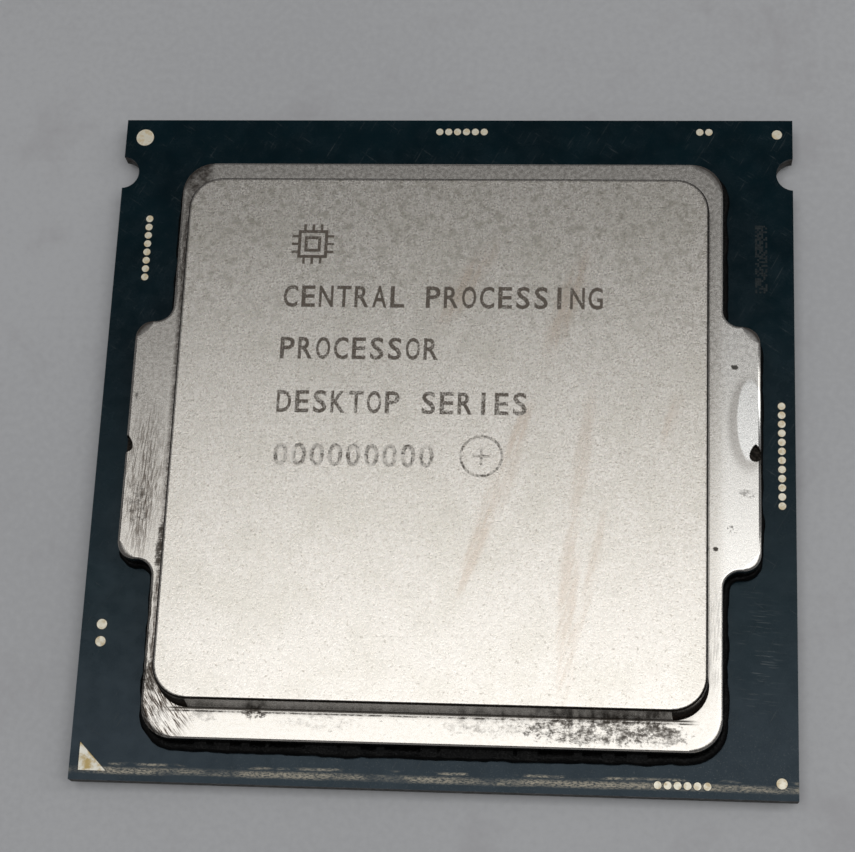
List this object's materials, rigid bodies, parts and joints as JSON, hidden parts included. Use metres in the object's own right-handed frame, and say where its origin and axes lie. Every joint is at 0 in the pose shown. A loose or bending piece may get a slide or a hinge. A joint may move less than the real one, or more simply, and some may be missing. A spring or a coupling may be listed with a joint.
{
  "type": "desktop processor in a land-grid package",
  "caption": "Square land-grid processor: dark laminate substrate with key notches and gold lands, and a stepped nickel lid with two ears over a silicon die.",
  "frame": {"origin": "centre of the square package in plan, on the plane its lowest pieces, the large land-side capacitors, rest on", "axes": "+Z out of the lid's flat top; +Y towards the edge near the two key notches; +X to the right with the pin-one triangle at the front left"},
  "size_m": [0.0376, 0.0376, 0.0049],
  "materials": {
    "laminate_core": "sawn glass-fibre laminate",
    "build_up_resin": "filled resin",
    "copper": "bare copper",
    "solder_mask": "satin, scratched",
    "land_side_mask": "satin",
    "gold_pad": "pale gold plate",
    "gold_land": "gold plate",
    "capacitor_ceramic": "matt",
    "tinned_terminal": "satin tin",
    "solder": "bright solder",
    "silicon": "polished",
    "underfill": "gloss epoxy",
    "thermal_paste": "matt paste",
    "silicone_sealant": "satin silicone",
    "nickel_plated_copper": "satin nickel, worn at the flange"
  },
  "bodies": {
    "root": {"substrate_core": "laminate_core", "lower_copper_plane": "copper", "upper_copper_plane": "copper", "lower_build_up_layers": "build_up_resin", "upper_build_up_layers": "build_up_resin", "lid_side_solder_mask": "solder_mask", "land_side_solder_mask": "land_side_mask", "back_edge_test_pads": "gold_pad", "front_edge_test_pads": "gold_pad", "left_edge_test_pads": "gold_pad", "right_edge_test_pads": "gold_pad", "left_probe_pads": "gold_pad", "large_fiducial": "gold_pad", "small_fiducials": "gold_pad", "pin_one_triangle": "gold_pad", "front_contact_lands": "gold_land", "back_contact_lands": "gold_land", "left_contact_lands": "gold_land", "right_contact_lands": "gold_land", "capacitor_pads": "gold_pad", "large_capacitor_bodies": "capacitor_ceramic", "small_capacitor_bodies": "capacitor_ceramic", "large_capacitor_terminals": "tinned_terminal", "small_capacitor_terminals": "tinned_terminal", "large_capacitor_solder": "solder", "small_capacitor_solder": "solder", "silicon_die": "silicon", "die_solder_bumps": "solder", "die_underfill": "underfill", "thermal_paste": "thermal_paste", "lid_sealant": "silicone_sealant", "heat_spreader_lid": "nickel_plated_copper"}
  },
  "joints": []
}
